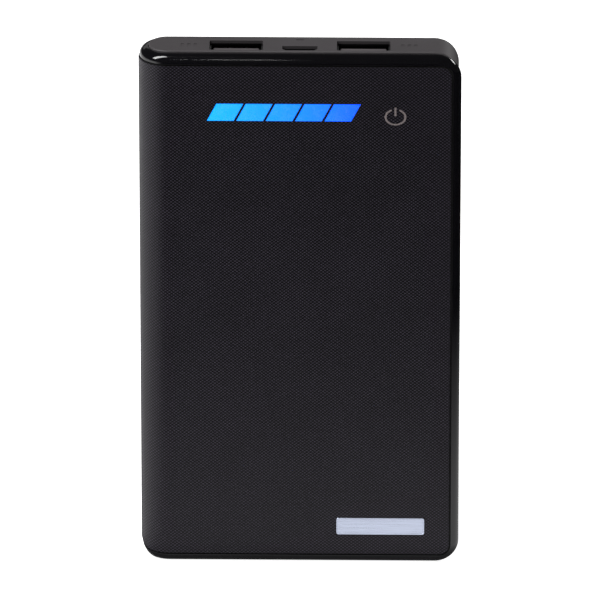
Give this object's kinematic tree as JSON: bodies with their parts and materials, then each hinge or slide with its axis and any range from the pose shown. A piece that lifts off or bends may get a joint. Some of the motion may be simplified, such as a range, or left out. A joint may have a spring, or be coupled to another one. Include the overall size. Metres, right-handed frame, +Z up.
{
  "type": "power bank",
  "caption": "Slim pocket power bank built like a book: woven-look skin over gloss covers, matte inner frame with USB sockets in the top end, lit charge gauge and flush power key.",
  "frame": {"origin": "centre of the overall box at its lowest face, the flat bottom end it stands on", "axes": "+Z up along the length towards the sockets, -Y out of the front with the gauge, +X towards the open edge, away from the spine"},
  "size_m": [0.08, 0.0144, 0.1391],
  "materials": {
    "gloss_black": "gloss",
    "woven_black": "woven relief, satin",
    "frame_grey": "fine matte",
    "badge_silver": "satin",
    "light_guide_blue": "translucent, lit blue",
    "shield_white": "matte",
    "led_body": "gloss",
    "board_green": "solder mask",
    "switch_black": "matte",
    "switch_steel": "satin",
    "plunger_white": "matte",
    "socket_steel": "satin",
    "socket_black": "matte",
    "contact_gold": "plated",
    "ferrite_grey": "matte",
    "copper_wire": "enamelled",
    "chip_black": "matte",
    "can_silver": "satin",
    "ceramic_tan": "matte",
    "cell_pouch": "foil",
    "nickel": "satin",
    "tape_amber": "film",
    "tape_white": "film",
    "foam_grey": "foam",
    "lead_red": "satin",
    "lead_black": "satin",
    "screw_steel": "satin"
  },
  "bodies": {
    "case": {"front_cover": "gloss_black", "back_cover": "gloss_black", "port_frame": "frame_grey", "wrap_skin": "woven_black", "badge_plate": "badge_silver", "switch_base": "switch_black", "switch_cover": "switch_steel", "charge_light_guide": "light_guide_blue", "light_shield": "shield_white", "charge_leds": "led_body", "main_board": "board_green", "usb_shell_left": "socket_steel", "usb_tongue_left": "socket_black", "usb_contacts_left": "contact_gold", "usb_shell_right": "socket_steel", "usb_tongue_right": "socket_black", "usb_contacts_right": "contact_gold", "micro_usb_shell": "socket_steel", "micro_usb_tongue": "socket_black", "micro_usb_contacts": "contact_gold", "inductor_core": "ferrite_grey", "inductor_winding": "copper_wire", "power_chips": "chip_black", "filter_capacitors": "can_silver", "chip_resistors": "ceramic_tan", "cell_front": "cell_pouch", "cell_back": "cell_pouch", "cell_bond_tape": "tape_white", "foam_pads": "foam_grey", "protection_board": "board_green", "cell_tabs": "nickel", "insulating_tape": "tape_amber", "positive_lead": "lead_red", "negative_lead": "lead_black", "case_screws": "screw_steel", "board_screws": "screw_steel"},
    "power_key": {"power_key": "gloss_black", "power_key_face": "woven_black"},
    "switch_plunger": {"switch_plunger": "plunger_white"}
  },
  "joints": [
    {"name": "key_press", "type": "slide", "parent": "case", "child": "power_key", "axis": [0, 1, 0], "range_m": [0, 0.0002], "stiffness_N_per_m": 2000, "springref_m": -0.0003},
    {"name": "plunger_press", "type": "slide", "parent": "case", "child": "switch_plunger", "axis": [0, 1, 0], "range_m": [0, 0.0002]}
  ],
  "couplings": [
    {"joint": "plunger_press", "follows": "key_press", "ratio": 1}
  ]
}
